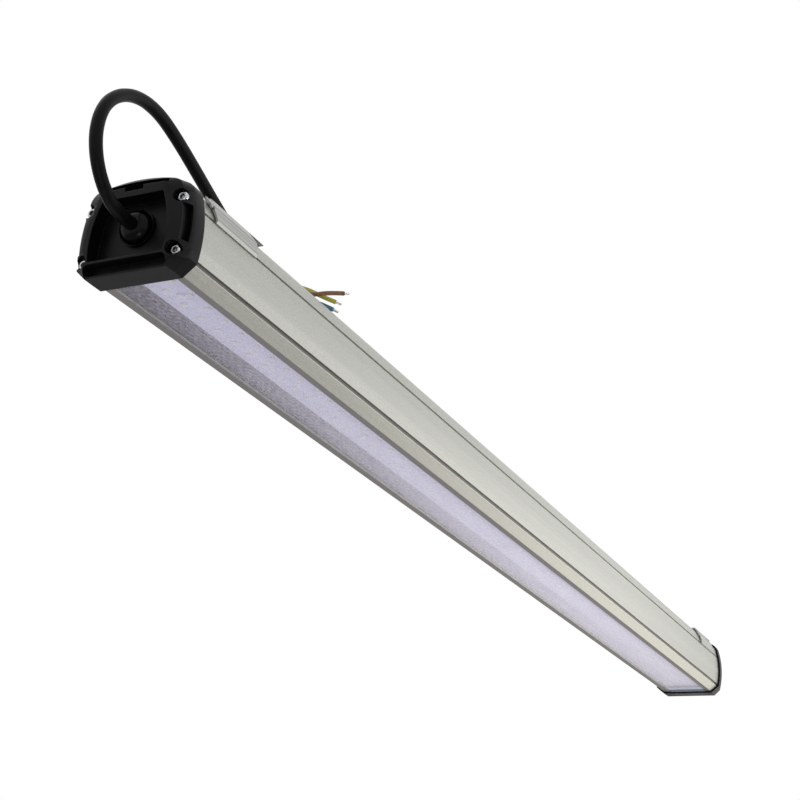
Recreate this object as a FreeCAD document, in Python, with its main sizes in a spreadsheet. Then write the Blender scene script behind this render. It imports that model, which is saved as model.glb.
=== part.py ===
import FreeCAD, Part
import math
import os
import re

import Sketcher
from FreeCAD import Placement, Rotation, Vector

# An LED linear light: a long aluminium extrusion with a clear cover slid into its underside,
# moulded caps screwed on both ends, a cable gland with a short three core cord in one of them,
# and two sheet steel brackets clipped into the grooves along its sides.
# X runs along the light with the cable end at minus X, Z points up, and the light hangs by the
# brackets on its top. The origin is under the middle of the light, at the caps' flat feet.

SIZES = {
    # The whole light
    "overall_length": 1000.0,
    # Section of the extrusion, as half widths and as heights over its own underside
    "foot_half": 23.6,
    "chamfer_half": 30.2,
    "chamfer_rise": 5.4,
    "shoulder_half": 28.9,
    "side_rise": 39.7,
    "side_radius": 75.0,
    "crown_half": 22.0,
    "crown_rise": 46.6,
    "shoulder_radius": 8.5,
    "crown_radius": 300.0,
    "wall": 2.0,
    "mouth_half": 19.0,
    "platform_rise": 10.2,
    "platform_thick": 2.0,
    "rail_half": 21.4,
    "rail_thick": 1.2,
    "groove_rise": 34.2,
    "groove_height": 1.6,
    "groove_depth": 1.8,
    "corner_groove_half": 29.2,
    "corner_groove_rise": 5.0,
    "corner_groove_height": 2.25,
    "port_half": 27.0,
    "port_low_rise": 7.2,
    "port_high_rise": 36.2,
    "port_boss_radius": 3.2,
    # Clear cover
    "cover_thick": 2.0,
    "cover_slack": 0.2,
    "cover_half": 22.4,
    # End caps, with depths measured from their rear rim towards their face
    "cap_proud": 1.8,
    "cap_depth": 16.5,
    "socket_depth": 5.0,
    "socket_clearance": 0.25,
    "gasket_thick": 1.5,
    "gasket_width": 6.0,
    "gasket_inset": 0.3,
    "bevel_depth": 7.0,
    "knee_depth": 14.0,
    "knee_foot_half": 24.0,
    "knee_chamfer_half": 29.4,
    "knee_chamfer_rise": 5.0,
    "knee_shoulder_half": 27.6,
    "knee_side_rise": 41.0,
    "knee_crown_half": 22.4,
    "knee_crown_rise": 48.4,
    "knee_side_radius": 90.0,
    "knee_shoulder_radius": 7.5,
    "knee_crown_radius": 90.0,
    "face_foot_half": 22.6,
    "face_chamfer_half": 24.2,
    "face_chamfer_rise": 4.6,
    "face_shoulder_half": 20.6,
    "face_side_rise": 39.4,
    "face_crown_half": 17.2,
    "face_crown_rise": 46.0,
    "face_side_radius": 62.0,
    "face_shoulder_radius": 9.5,
    "face_crown_radius": 230.0,
    "recess_floor_depth": 8.2,
    "recess_foot_half": 22.0,
    "recess_low_rise": 6.0,
    "recess_top_half": 18.0,
    "recess_high_rise": 39.2,
    "recess_side_radius": 60.0,
    # Slots round the cap's edge; those at its top and sides follow the skirt at a rim's distance
    "side_slot_rim": 1.0,
    "top_slot_rim": 1.6,
    "slot_width": 2.8,
    "side_slot_low": 11.7,
    "side_slot_high": 32.2,
    "side_slot_floor": 6.2,
    "top_slot_half": 20.0,
    "top_slot_low": 42.2,
    "top_slot_floor": 9.0,
    "foot_slot_half": 24.2,
    "foot_slot_low": -0.8,
    "foot_slot_high": 4.8,
    "foot_slot_floor": 10.5,
    "foot_lip_depth": 14.0,
    "notch_half": 5.4,
    "notch_low": 42.4,
    "notch_high": 47.0,
    "notch_floor": 12.5,
    # Screws of the caps, boards, driver, terminal block and earth
    "screw_radius": 1.5,
    "screw_play": 0.1,
    "screw_length": 18.0,
    "screw_head_radius": 2.75,
    "screw_head_height": 2.1,
    "screw_drive_radius": 1.35,
    "screw_drive_depth": 1.2,
    "screw_pocket_radius": 3.7,
    "screw_seat_depth": 10.8,
    # Cable gland, with lengths along its axis
    "gland_rise": 24.7,
    "stem_radius": 7.9,
    "stem_reach": 4.0,
    "stem_play": 0.1,
    "flange_radius": 9.9,
    "flange_thick": 1.6,
    "collar_radius": 6.9,
    "collar_length": 2.6,
    "seal_radius": 5.5,
    "seal_length": 8.0,
    "seal_lead": 0.4,
    "dome_radius": 9.3,
    "dome_rim": 1.0,
    "dome_height": 5.4,
    "dome_mouth_radius": 4.4,
    "dome_arc_radius": 6.6,
    "lock_nut_radius": 11.4,
    "lock_nut_thick": 4.5,
    # Cord and its cores
    "cord_radius": 3.4,
    "core_radius": 1.3,
    "core_spread": 1.55,
    "strand_radius": 0.65,
    "strand_length": 3.4,
    "inner_jacket_length": 26.0,
    # Lamp boards
    "board_half": 12.3,
    "board_thick": 1.6,
    "board_end_gap": 4.0,
    "board_joint": 1.0,
    "lamp_pitch": 16.67,
    "lamp_row_half": 4.6,
    "lamp_length": 3.0,
    "lamp_width": 2.8,
    "lamp_height": 0.7,
    "lamp_margin": 8.0,
    "board_screw_margin": 33.0,
    "board_head_radius": 2.3,
    "board_head_height": 1.2,
    "link_length": 14.0,
    "link_half": 3.0,
    "link_height": 2.2,
    # Driver, terminal block and leads inside
    "terminal_gap": 30.0,
    "terminal_length": 24.0,
    "terminal_half": 13.0,
    "terminal_height": 13.0,
    "terminal_pole_half": 6.0,
    "terminal_entry_rise": 6.5,
    "terminal_tab": 8.0,
    "tab_thick": 2.0,
    "lead_span": 38.0,
    "driver_length": 240.0,
    "driver_half": 20.5,
    "driver_height": 24.0,
    "driver_tab": 10.0,
    "lead_radius": 0.9,
    "lead_half": 9.5,
    "lead_rise": 9.0,
    "lead_drop": 24.0,
    "fixing_slack": 0.4,
    "earth_half": 20.0,
    "earth_gap": 16.0,
    "tag_radius": 3.4,
    "tag_thick": 0.8,
    "tag_barrel_radius": 1.9,
    "tag_barrel_length": 6.0,
    # Brackets
    "bracket_thick": 1.2,
    "bracket_clearance": 0.35,
    "bracket_length": 61.0,
    "bracket_gap": 6.0,
    "bracket_nose": 6.5,
    "bracket_setback": 9.5,
    "bracket_overhang": 15.5,
    "bracket_leg_rise": 41.8,
    "bracket_lift": 2.1,
    "bracket_plate_half": 22.9,
    "bracket_fold": 1.5,
    "bracket_relief": 0.9,
    "ear_half": 27.0,
    "ear_rise": 40.8,
    "slot_half_width": 2.75,
    "slot_length": 14.0,
    # How far a cutting shape runs past the face that it cuts
    "overcut": 1.0,
}

# Places that follow from the sizes. Heights here are over the caps' feet.
PLACES = {
    "end_x": "overall_length / 2",
    "back_x": "end_x - cap_depth",
    "web_x": "back_x + socket_depth",
    "housing_end_x": "web_x - gasket_thick",
    "housing_length": "housing_end_x * 2",
    "crown_sag": "crown_radius - sqrt(crown_radius^2 - crown_half^2)",
    "lip_z": "cap_proud + wall",
    "rail_z": "lip_z + cover_thick + cover_slack",
    "platform_z": "cap_proud + platform_rise",
    "deck_z": "platform_z + platform_thick",
    "port_low_z": "cap_proud + port_low_rise",
    "port_high_z": "cap_proud + port_high_rise",
    "port_radius": "screw_radius + screw_play",
    # Centre of the bulging side face, and how far out that face is at the bracket groove
    "side_chord_y": "shoulder_half - chamfer_half",
    "side_chord_z": "side_rise - chamfer_rise",
    "side_chord": "sqrt(side_chord_y^2 + side_chord_z^2)",
    "side_apothem": "sqrt(side_radius^2 - side_chord^2 / 4)",
    "side_centre_y": "(chamfer_half + shoulder_half) / 2 - side_apothem * side_chord_z / side_chord",
    "side_centre_rise": "(chamfer_rise + side_rise) / 2 + side_apothem * side_chord_y / side_chord",
    "groove_half": "side_centre_y + sqrt(side_radius^2 - (groove_rise - side_centre_rise)^2)",
    # Folded section of a bracket, inner line and then outer line, over the housing's underside
    "inner_plate_rise": "crown_rise + crown_sag + bracket_lift",
    "inner_leg_half": "shoulder_half + bracket_clearance",
    "inner_hook_half": "groove_half + bracket_clearance",
    "hook_high_rise": "groove_rise + bracket_thick / 2",
    "hook_low_rise": "groove_rise - bracket_thick / 2",
    "hook_tip_half": "groove_half - groove_depth + bracket_clearance",
    "outer_hook_half": "inner_hook_half + bracket_thick",
    "outer_fold_half": "outer_hook_half - bracket_thick / 2",
    "outer_fold_rise": "hook_low_rise + bracket_fold",
    "nose_rise": "ear_rise - bracket_nose",
    "outer_leg_half": "inner_leg_half + bracket_thick",
    "outer_leg_rise": "bracket_leg_rise + bracket_thick / 2",
    "outer_plate_half": "bracket_plate_half + bracket_thick / 2",
    "outer_plate_rise": "inner_plate_rise + bracket_thick",
    "near_bracket_x": "bracket_gap - back_x",
    "far_bracket_x": "back_x - bracket_gap - bracket_length",
    # Gland stations along its axis, from the inner end of its stem
    "gland_z": "cap_proud + gland_rise",
    "gland_x": "stem_reach - back_x",
    "floor_a": "stem_reach + recess_floor_depth",
    "flange_a": "floor_a + flange_thick",
    "collar_a": "flange_a + collar_length",
    "seal_out_a": "collar_a + seal_lead",
    "seal_in_a": "seal_out_a - seal_length",
    "dome_rim_a": "flange_a + dome_rim",
    "dome_a": "flange_a + dome_height",
    "bore_radius": "cord_radius + stem_play",
    "seal_seat_radius": "seal_radius + stem_play",
    "dome_cavity_radius": "collar_radius + stem_play",
    "cord_exit_x": "gland_x - dome_a",
    "jacket_end_x": "cord_exit_x + inner_jacket_length",
    # Lamp boards and what stands on the deck
    "board_z": "platform_z - board_thick",
    "lamp_z": "board_z - lamp_height",
    "board_length": "housing_end_x - board_end_gap - board_joint / 2",
    "lamp_span": "board_length - lamp_margin * 2 - lamp_pitch / 2",
    "lamp_count": "floor(lamp_span / lamp_pitch) + 1",
    "lamp_run": "(lamp_count - 1) * lamp_pitch",
    "near_board_x": "board_end_gap - housing_end_x",
    "far_board_x": "board_joint / 2",
    "board_screw_gap": "board_length / 2 - board_screw_margin",
    "terminal_x": "jacket_end_x + terminal_gap",
    "terminal_end_x": "terminal_x + terminal_length",
    "terminal_screw_x": "terminal_end_x + terminal_tab / 2",
    "entry_z": "deck_z + terminal_entry_rise",
    "driver_x": "terminal_end_x + lead_span",
    "driver_end_x": "driver_x + driver_length",
    "lead_z": "deck_z + lead_rise",
    "lead_hole_x": "driver_end_x + lead_drop",
    "lead_hole_radius": "lead_radius + screw_play",
    "earth_x": "terminal_x + earth_gap",
    "tag_barrel_z": "deck_z + tag_barrel_radius",
    "tag_barrel_x": "earth_x - tag_radius - tag_barrel_length",
}

# The cord's line outside the gland, out, up and over the cap and down onto the light's back
CORD_ROUTE = [
    (-498.7, 0.0, 26.5),
    (-511.0, 0.0, 26.5),
    (-523.0, 0.0, 33.4),
    (-531.5, 0.0, 45.0),
    (-535.0, 0.0, 59.0),
    (-532.0, 0.0, 74.0),
    (-522.0, 0.0, 86.0),
    (-507.0, 0.0, 93.8),
    (-489.5, 0.0, 95.0),
    (-471.5, 0.0, 89.6),
    (-453.0, 0.0, 82.2),
    (-435.0, 0.0, 74.6),
    (-417.0, 0.0, 67.4),
    (-400.5, -0.5, 60.0),
    (-386.0, -2.0, 52.9),
    (-372.0, -6.0, 53.0),
]

# The bared cores fan out over the light's near edge. Each line goes on from the jacket's end,
# where the core starts at a bearing round the jacket's axis, and it ends where the strands are bared.
CORE_ROUTES = {
    "wire_brown": [
        (-359.5, -12.6, 52.6),
        (-352.2, -19.0, 53.2),
        (-346.3, -25.2, 56.6),
        (-338.4, -31.2, 58.9),
    ],
    "wire_green_yellow": [
        (-359.5, -9.6, 57.0),
        (-350.0, -13.8, 58.5),
        (-342.8, -19.4, 56.6),
        (-337.6, -26.0, 54.4),
    ],
    "wire_blue": [
        (-357.5, -8.6, 52.6),
        (-346.0, -12.8, 54.0),
        (-339.6, -18.6, 53.0),
        (-337.4, -24.6, 49.9),
    ],
}
CORE_BEARINGS = {"wire_brown": 210.0, "wire_green_yellow": 90.0, "wire_blue": 330.0}
# How far a core runs on straight before its first bend, outside and as a share of the room inside
CORE_LEAD = 5.0
BEND_SHARE = 0.35

# The extrusion's corners on one side, from the underside up, and the arcs between them
HOUSING_CORNERS = [
    ("foot_half", None),
    ("chamfer_half", "chamfer_rise"),
    ("shoulder_half", "side_rise"),
    ("crown_half", "crown_rise"),
]
HOUSING_RADII = [None, "side_radius", "shoulder_radius"]
SIDES = {"left": "", "right": "-"}
LEVELS = ("low", "high")
# Three screws hold each lamp board
BOARD_SCREWS = [(board, place) for board in ("near", "far") for place in range(3)]
DRIVER_SCREWS = {"near": "driver_x - driver_tab / 2", "far": "driver_end_x + driver_tab / 2"}

SECTION_TURN = Rotation(Vector(1, 1, 1), 120)
GLAND_TURN = Rotation(Vector(-1, 0, 0), Vector(0, 0, 1), Vector(0, 1, 0), "XYZ")
ALONG_X = Rotation(Vector(0, 1, 0), 90)
ALONG_Y = Rotation(Vector(1, 0, 0), -90)
UPRIGHT = Rotation()
END_TO_END = Vector(1, 0, 0)

doc = FreeCAD.newDocument("linear_light")
pieces = []


def spell(text, own=()):
    """Writes the sheet's name before each size and place in a formula."""

    def named(match):
        word = match.group(0)
        if word in own:
            return word
        if word in SIZES:
            return "Sizes." + word
        if word in PLACES:
            return "Places." + word
        return word

    return re.sub(r"[a-z_]+", named, text)


def fill_sheets():
    sizes = doc.addObject("Spreadsheet::Sheet", "Sizes")
    for row, (name, number) in enumerate(SIZES.items(), 1):
        sizes.set(f"A{row}", name)
        sizes.set(f"B{row}", str(number))
        sizes.setAlias(f"B{row}", name)
    doc.recompute()
    places = doc.addObject("Spreadsheet::Sheet", "Places")
    for row, name in enumerate(PLACES, 1):
        places.setAlias(f"B{row}", name)
    for row, (name, formula) in enumerate(PLACES.items(), 1):
        places.set(f"A{row}", name)
        places.set(f"B{row}", "=" + spell(formula, own=PLACES))
    doc.recompute()
    return sizes, places


def value(name):
    """The number behind a size or a place."""
    sheet = sizes if name in SIZES else places
    return float(getattr(sheet, name))


def bind(item, **formulas):
    """Ties properties of a document object to formulas; x, y and z are its place."""
    for prop, formula in formulas.items():
        path = {"x": "Placement.Base.x", "y": "Placement.Base.y", "z": "Placement.Base.z"}.get(prop, prop)
        item.setExpression(path, spell(formula))
    return item


def keep(node, item):
    """Names a finished sub-part for its file."""
    item.Label = node
    pieces.append(item)
    return item


def block(name, length, width, height, x, y, z):
    item = doc.addObject("Part::Box", name)
    return bind(item, Length=length, Width=width, Height=height, x=x, y=y, z=z)


def rod(name, radius, length, x, y, z, turn=ALONG_X):
    item = doc.addObject("Part::Cylinder", name)
    item.Placement = Placement(Vector(), turn)
    return bind(item, Radius=radius, Height=length, x=x, y=y, z=z)


def hexagon(name, radius, length, x, y, z, turn=ALONG_X):
    item = doc.addObject("Part::Prism", name)
    item.Polygon = 6
    item.Placement = Placement(Vector(), turn)
    return bind(item, Circumradius=radius, Height=length, x=x, y=y, z=z)


def join(name, shapes):
    item = doc.addObject("Part::MultiFuse", name)
    item.Shapes = shapes
    return item


def group(name, shapes):
    item = doc.addObject("Part::Compound", name)
    item.Links = shapes
    return item


def cut(name, base, tools):
    item = doc.addObject("Part::Cut", name)
    item.Base = base
    item.Tool = tools[0] if len(tools) == 1 else join(name + "_tools", tools)
    return item


def mirror(name, source, normal):
    item = doc.addObject("Part::Mirroring", name)
    item.Source = source
    item.Normal = normal
    return item


def offset(name, outline, distance):
    """A section parallel to another one; an inward one keeps its corners by plain arcs."""
    item = doc.addObject("Part::Offset2D", name)
    item.Source = outline
    item.Join = "Arc" if distance.startswith("-") else "Intersection"
    return bind(item, Value=distance)


def prism(name, outline, length, x):
    """Extrudes a section along plus X from a place on X."""
    item = doc.addObject("Part::Extrusion", name)
    item.Base = outline
    item.DirMode = "Custom"
    item.Dir = Vector(1, 0, 0)
    item.Solid = True
    return bind(item, LengthFwd=length, x=x)


def arc_middle(start, end, radius):
    """The middle of an arc that bulges to the right of the way from start to end."""
    chord = end - start
    sag = radius - math.sqrt(radius * radius - chord.Length * chord.Length / 4)
    outward = Vector(chord.y, -chord.x, 0).normalize()
    return (start + end) * 0.5 + outward * sag


def add_edge(sketch, start, end, radius):
    """Adds a line, or an arc of a named radius, and says which of its ends comes first."""
    if radius is None:
        return sketch.addGeometry(Part.LineSegment(start, end)), 1, 2
    if radius.startswith("-"):
        middle = arc_middle(end, start, value(radius[1:]))
        edge, first, last = sketch.addGeometry(Part.Arc(end, middle, start)), 2, 1
    else:
        middle = arc_middle(start, end, value(radius))
        edge, first, last = sketch.addGeometry(Part.Arc(start, middle, end)), 1, 2
    sketch.addConstraint(Sketcher.Constraint("Radius", edge, value(radius.strip("-"))))
    sketch.setExpression(f"Constraints[{sketch.ConstraintCount - 1}]", spell(radius.strip("-")))
    return edge, first, last


def tie_corner(sketch, edge, end, across, up):
    """Holds a corner of a sketch at its two named coordinates."""
    for kind, name in (("DistanceX", across), ("DistanceY", up)):
        if name is None:
            sketch.addConstraint(Sketcher.Constraint("PointOnObject", edge, end, -1))
            continue
        sketch.addConstraint(Sketcher.Constraint(kind, -1, 1, edge, end, value(name)))
        sketch.setExpression(f"Constraints[{sketch.ConstraintCount - 1}]", spell(name))


def section(name, half, radii, bottom=None, top=None, x="0", z="cap_proud"):
    """A closed section across the light, the same on both sides. half lists the corners of its
    plus Y side from the bottom up, and radii the arcs between them."""
    sketch = doc.addObject("Sketcher::SketchObject", name)
    sketch.Placement = Placement(Vector(), SECTION_TURN)
    bind(sketch, x=x, z=z)
    right = [Vector(value(across), value(up) if up else 0, 0) for across, up in half]
    left = [Vector(-corner.x, corner.y, 0) for corner in right]
    loop = right + left[::-1]
    curves = list(radii) + [top] + list(radii[::-1]) + [bottom]
    edges = []
    for place, curve in enumerate(curves):
        edges.append(add_edge(sketch, loop[place], loop[(place + 1) % len(loop)], curve))
    for place, (edge, first, last) in enumerate(edges):
        after, after_first, _ = edges[(place + 1) % len(edges)]
        sketch.addConstraint(Sketcher.Constraint("Coincident", edge, last, after, after_first))
    for place, (across, up) in enumerate(half):
        edge, first, _ = edges[place]
        tie_corner(sketch, edge, first, across, up)
        other, other_first, _ = edges[len(loop) - 1 - place]
        sketch.addConstraint(Sketcher.Constraint("Symmetric", edge, first, other, other_first, -2))
    return sketch


def turned(name, corners, radii=None):
    """A piece turned about the gland's axis. corners lists stations along it and radii there."""
    sketch = doc.addObject("Sketcher::SketchObject", name + "_profile")
    sketch.Placement = Placement(Vector(), GLAND_TURN)
    bind(sketch, x="gland_x", z="gland_z")
    points = [Vector(value(along) if along else 0, value(out), 0) for along, out in corners]
    curves = radii or [None] * len(points)
    edges = []
    for place, curve in enumerate(curves):
        edges.append(add_edge(sketch, points[place], points[(place + 1) % len(points)], curve))
    for place, (edge, first, last) in enumerate(edges):
        after, after_first, _ = edges[(place + 1) % len(edges)]
        sketch.addConstraint(Sketcher.Constraint("Coincident", edge, last, after, after_first))
        along, out = corners[place]
        if along is None:
            sketch.addConstraint(Sketcher.Constraint("PointOnObject", edge, first, -2))
        else:
            sketch.addConstraint(Sketcher.Constraint("DistanceX", -1, 1, edge, first, value(along)))
            sketch.setExpression(f"Constraints[{sketch.ConstraintCount - 1}]", spell(along))
        sketch.addConstraint(Sketcher.Constraint("DistanceY", -1, 1, edge, first, value(out)))
        sketch.setExpression(f"Constraints[{sketch.ConstraintCount - 1}]", spell(out))
    item = doc.addObject("Part::Revolution", name)
    item.Source = sketch
    item.Axis = Vector(1, 0, 0)
    item.Solid = True
    item.setExpression("Base.z", spell("gland_z"))
    return item


def route_wire(points):
    """Straight runs joined by tangent arcs, each as large as its two runs allow."""
    arc_share = 0.45
    corners = [Vector(*point) for point in points]
    edges = []
    radii = []
    start = corners[0]
    for before, corner, after in zip(corners, corners[1:], corners[2:]):
        inward = (before - corner).normalize()
        outward = (after - corner).normalize()
        half_turn = (math.pi - inward.getAngle(outward)) / 2
        reach = arc_share * min(before.distanceToPoint(corner), corner.distanceToPoint(after))
        radius = reach / math.tan(half_turn)
        middle = corner + (inward + outward).normalize() * (radius / math.cos(half_turn) - radius)
        arc_start = corner + inward * reach
        arc_end = corner + outward * reach
        edges.append(Part.LineSegment(start, arc_start).toShape())
        edges.append(Part.Arc(arc_start, middle, arc_end).toShape())
        start = arc_end
        radii.append(radius)
    edges.append(Part.LineSegment(start, corners[-1]).toShape())
    return Part.Wire(edges), radii


def tube_shape(points, radius):
    wire, radii = route_wire(points)
    first = Vector(*points[1]) - Vector(*points[0])
    ring = Part.Wire(Part.makeCircle(radius, Vector(*points[0]), first))
    solid = wire.makePipeShell([ring], True, False)
    return solid, wire.Length, radii


def tube(name, points, radius):
    """A cord or core of one radius along a route, with its volume set against its length."""
    solid, length, radii = tube_shape(points, radius)
    item = doc.addObject("Part::Feature", name)
    item.Shape = solid
    ratio = solid.Volume / (math.pi * radius * radius * length)
    print(f"{name}: length {length:.1f}, volume share {ratio:.4f}, radii {[round(r, 1) for r in radii]}")
    return item


def board_screw_x(board, place):
    """Where a lamp board's screw stands: by its two ends and in its middle."""
    return f"{board}_board_x + board_screw_margin + {place} * board_screw_gap"


def housing_outline(name, x="0"):
    return section(name, HOUSING_CORNERS, HOUSING_RADII, top="crown_radius", x=x)


def deck_hole(name, radius, x, y):
    return rod(name, radius, "platform_thick", x, y, "platform_z", UPRIGHT)


def make_housing(outline):
    """The extrusion: one closed shell with a deck across it, screw ports in its corners, lips
    and rails for the clear cover, and a groove along each edge of its side faces."""
    full = {"length": "housing_length", "x": "-housing_end_x"}
    bar = prism("housing_bar", outline, **full)
    hollow = prism("housing_hollow", offset("hollow_outline", outline, "-wall"), **full)
    kept = [block("deck", width="chamfer_half * 2", height="platform_thick", y="-chamfer_half",
                  z="platform_z", **full)]
    drilled = [block("mouth", width="mouth_half * 2", height="wall + cap_proud",
                     y="-mouth_half", z="0", **full)]
    for side, sign in SIDES.items():
        rail_y = "-chamfer_half" if sign else "rail_half"
        groove_y = "-groove_half - groove_depth" if sign else "groove_half - groove_depth"
        corner_y = "-corner_groove_half - groove_depth" if sign else "corner_groove_half"
        kept.append(block(f"rail_{side}", width="chamfer_half - rail_half", height="rail_thick",
                          y=rail_y, z="rail_z", **full))
        drilled.append(block(f"groove_{side}", width="groove_depth * 2", height="groove_height",
                             y=groove_y, z="cap_proud + groove_rise - groove_height / 2", **full))
        drilled.append(block(f"corner_groove_{side}", width="groove_depth", height="corner_groove_height",
                             y=corner_y, z="cap_proud + corner_groove_rise", **full))
        for level in LEVELS:
            port = {"y": sign + "port_half", "z": f"port_{level}_z", **full}
            kept.append(rod(f"port_boss_{side}_{level}", "port_boss_radius", **port))
            drilled.append(rod(f"port_{side}_{level}", "port_radius", **port))
    shell = cut("housing_shell", bar, [cut("housing_void", hollow, kept)])
    deck_holes = [
        deck_hole("terminal_tapping", "port_radius", "terminal_screw_x", "0"),
        deck_hole("earth_tapping", "port_radius", "earth_x", "earth_half"),
    ]
    for end, x in DRIVER_SCREWS.items():
        deck_holes.append(deck_hole(f"driver_tapping_{end}", "port_radius", x, "0"))
    for side, sign in SIDES.items():
        deck_holes.append(deck_hole(f"lead_hole_{side}", "lead_hole_radius", "lead_hole_x",
                                    sign + "lead_half"))
    for board, place in BOARD_SCREWS:
        deck_holes.append(deck_hole(f"board_tapping_{board}_{place}", "port_radius",
                                    board_screw_x(board, place), "0"))
    keep("housing", cut("housing", shell, drilled + deck_holes))
    keep("clear_cover", block("clear_cover", width="cover_half * 2", height="cover_thick",
                              y="-cover_half", z="lip_z", **full))


def cap_section(name, stage, x, z):
    """A section of the cap's bevelled front, at its knee or at its face."""
    corners = [
        (f"{stage}_foot_half", None),
        (f"{stage}_chamfer_half", f"{stage}_chamfer_rise"),
        (f"{stage}_shoulder_half", f"{stage}_side_rise"),
        (f"{stage}_crown_half", f"{stage}_crown_rise"),
    ]
    radii = [None, f"{stage}_side_radius", f"{stage}_shoulder_radius"]
    return section(name, corners, radii, top=f"{stage}_crown_radius", x=x, z=z)


def face_cut(name, outline, floor):
    """A pocket of any outline, from the cap's face back to a floor at a depth of its own."""
    return prism(name, outline, f"cap_depth - {floor} + overcut", "-end_x - overcut")


def face_slot(name, floor, width, height, y, z):
    """A square pocket from the cap's face back to a floor at a depth of its own."""
    return block(name, f"cap_depth - {floor} + overcut", width, height, "-end_x - overcut", y, z)


def slot_ring(name, outline, rim):
    """A ring along the cap's edge, with a rim of its own thickness left outside it."""
    rim_outline = offset(name + "_rim_outline", outline, f"cap_proud - {rim}")
    core_outline = offset(name + "_core_outline", outline, f"-({rim} + slot_width - cap_proud)")
    core = face_cut(name + "_core", core_outline, "side_slot_floor")
    return cut(name, face_cut(name + "_rim", rim_outline, "side_slot_floor"), [core])


def rim_slot(name, ring, room):
    """The stretch of the ring along the cap's edge that lies in a box."""
    item = doc.addObject("Part::Common", name)
    item.Base = ring
    item.Tool = room
    return item


def foot_slot():
    """The slot along the cap's foot, with round ends, and the lip in front of it set back."""
    round_radius = "(foot_slot_high - foot_slot_low) / 2"
    middle_z = "cap_proud + (foot_slot_high + foot_slot_low) / 2"
    straight_half = f"foot_slot_half - {round_radius}"
    tools = [
        face_slot("foot_slot", "foot_slot_floor", f"({straight_half}) * 2", "foot_slot_high - foot_slot_low",
                  f"-({straight_half})", "cap_proud + foot_slot_low"),
        face_slot("foot_lip", "foot_lip_depth", "foot_slot_half * 2", f"{middle_z} + overcut",
                  "-foot_slot_half", "-overcut"),
    ]
    for side, sign in SIDES.items():
        tools.append(rod(f"foot_slot_end_{side}", round_radius, "cap_depth - foot_slot_floor + overcut",
                         "-end_x - overcut", f"{sign}({straight_half})", middle_z))
    return tools


def cap_pockets(outline):
    """What is sunk into the cap's face: the field, the slots and the screw pockets."""
    field = section("field_outline", [
        ("recess_foot_half", "recess_low_rise"),
        ("recess_top_half", "recess_high_rise"),
    ], ["recess_side_radius"])
    top_ring = slot_ring("top_ring", outline, "top_slot_rim")
    side_ring = slot_ring("side_ring", outline, "side_slot_rim")
    top_room = face_slot("top_slot_room", "top_slot_floor", "top_slot_half * 2",
                         "crown_rise + cap_depth - top_slot_low", "-top_slot_half",
                         "cap_proud + top_slot_low")
    pockets = [
        face_cut("field", field, "recess_floor_depth"),
        rim_slot("top_slot", top_ring, top_room),
        face_slot("top_notch", "notch_floor", "notch_half * 2", "notch_high - notch_low",
                  "-notch_half", "cap_proud + notch_low"),
    ] + foot_slot()
    for side, sign in SIDES.items():
        room_y = "-side_radius" if sign else "0"
        side_room = face_slot(f"side_slot_room_{side}", "side_slot_floor", "side_radius",
                              "side_slot_high - side_slot_low", room_y, "cap_proud + side_slot_low")
        pockets.append(rim_slot(f"side_slot_{side}", side_ring, side_room))
        for level in LEVELS:
            place = {"x": "-end_x - overcut", "y": sign + "port_half", "z": f"port_{level}_z"}
            pockets.append(rod(f"screw_pocket_{side}_{level}", "screw_pocket_radius",
                               "cap_depth - screw_seat_depth + overcut", **place))
            pockets.append(rod(f"screw_hole_{side}_{level}", "port_radius", "cap_depth + overcut", **place))
    return pockets


def make_caps(outline):
    """One moulding for both ends: a skirt round the housing, a face with broad bevels on both
    sides, a sunk field in the middle, a slot along each edge and a sunk screw in each corner."""
    bevel_x = "-back_x - bevel_depth"
    skirt = prism("cap_skirt", offset("skirt_outline", outline, "cap_proud"), "bevel_depth", bevel_x)
    front = doc.addObject("Part::Loft", "cap_front")
    front.Sections = [
        offset("bevel_rim", housing_outline("bevel_outline", bevel_x), "cap_proud"),
        cap_section("cap_knee", "knee", "-back_x - knee_depth", "0"),
        cap_section("cap_face", "face", "-end_x", "cap_proud / 2"),
    ]
    front.Solid = True
    front.Ruled = True
    socket_outline = offset("socket_outline", outline, "socket_clearance")
    socket = prism("cap_socket", socket_outline, "socket_depth", "-web_x")
    plain = cut("plain_cap", join("cap_body", [skirt, front]), [socket] + cap_pockets(outline))
    gland_hole = rod("gland_hole", "stem_radius + stem_play", "cap_depth", "-end_x", "0", "gland_z")
    keep("cable_end_cap", cut("cable_end_cap", plain, [gland_hole]))
    keep("blank_end_cap", mirror("blank_end_cap", plain, END_TO_END))


def make_gaskets(outline):
    """A flat ring of soft rubber between the end of the housing and the cap's web."""
    span = {"length": "gasket_thick", "x": "-web_x"}
    outer = prism("gasket_outer", offset("gasket_rim", outline, "-gasket_inset"), **span)
    inner = prism("gasket_inner", offset("gasket_hole", outline, "-gasket_inset - gasket_width"), **span)
    holes = []
    for side, sign in SIDES.items():
        for level in LEVELS:
            holes.append(rod(f"gasket_{side}_{level}", "port_radius", y=sign + "port_half",
                             z=f"port_{level}_z", **span))
    ring = keep("cable_end_gasket", cut("cable_end_gasket", outer, [inner] + holes))
    keep("blank_end_gasket", mirror("blank_end_gasket", ring, END_TO_END))


def cap_screw(name, y, z):
    """A cheese head screw with a six sided drive, lying along X with its head at minus X."""
    head_x = "-back_x - screw_seat_depth - screw_head_height"
    head = rod(name + "_head", "screw_head_radius", "screw_head_height", head_x, y, z)
    drive = hexagon(name + "_drive", "screw_drive_radius", "screw_drive_depth", head_x, y, z)
    shank = rod(name + "_shank", "screw_radius", "screw_length", "-back_x - screw_seat_depth", y, z)
    return join(name, [cut(name + "_socket", head, [drive]), shank])


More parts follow.
